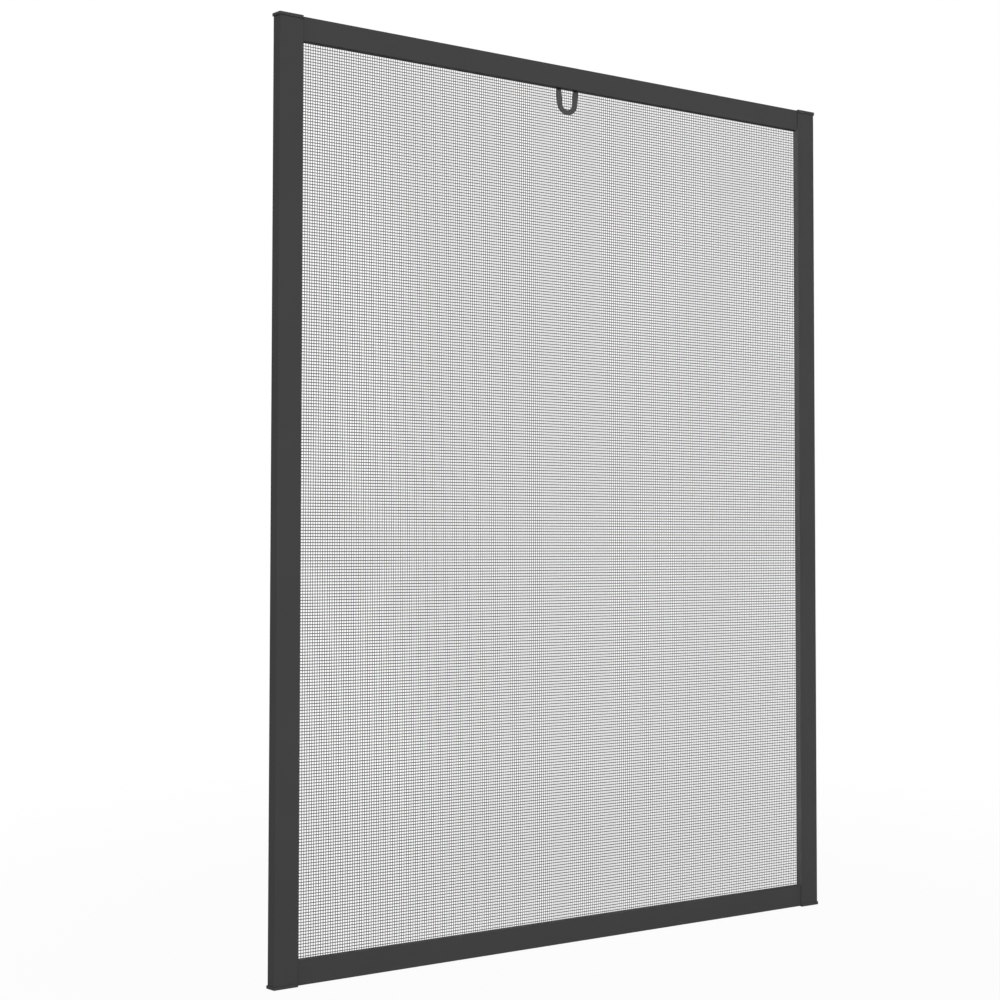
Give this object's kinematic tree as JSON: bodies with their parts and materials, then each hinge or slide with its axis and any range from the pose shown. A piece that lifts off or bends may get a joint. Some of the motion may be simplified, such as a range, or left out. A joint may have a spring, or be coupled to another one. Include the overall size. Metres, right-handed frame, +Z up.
{
  "type": "window screen frame",
  "caption": "Insect screen for a window: hollow aluminium stiles and rails with end caps, a woven mesh held by splines at the back, and a pull tab under the top rail.",
  "frame": {"origin": "centre of the whole frame", "axes": "+X across the window to the right as seen from the front, +Y from the front to the back, +Z up"},
  "size_m": [0.865, 0.0132, 1.2],
  "materials": {
    "frame": "fine matt powder coat, anthracite",
    "caps": "moulded, fine grain",
    "keys": "moulded nylon",
    "splines": "matt vinyl",
    "mesh": "coated glass-fibre weave",
    "tab": "moulded, satin"
  },
  "bodies": {
    "root": {"left_stile": "frame", "right_stile": "frame", "top_rail": "frame", "bottom_rail": "frame", "cap_top_left": "caps", "cap_top_right": "caps", "cap_bottom_left": "caps", "cap_bottom_right": "caps", "key_top_left": "keys", "key_top_right": "keys", "key_bottom_left": "keys", "key_bottom_right": "keys", "spline_left": "splines", "spline_right": "splines", "spline_top": "splines", "spline_bottom": "splines", "insect_mesh": "mesh", "pull_tab": "tab"}
  },
  "joints": []
}
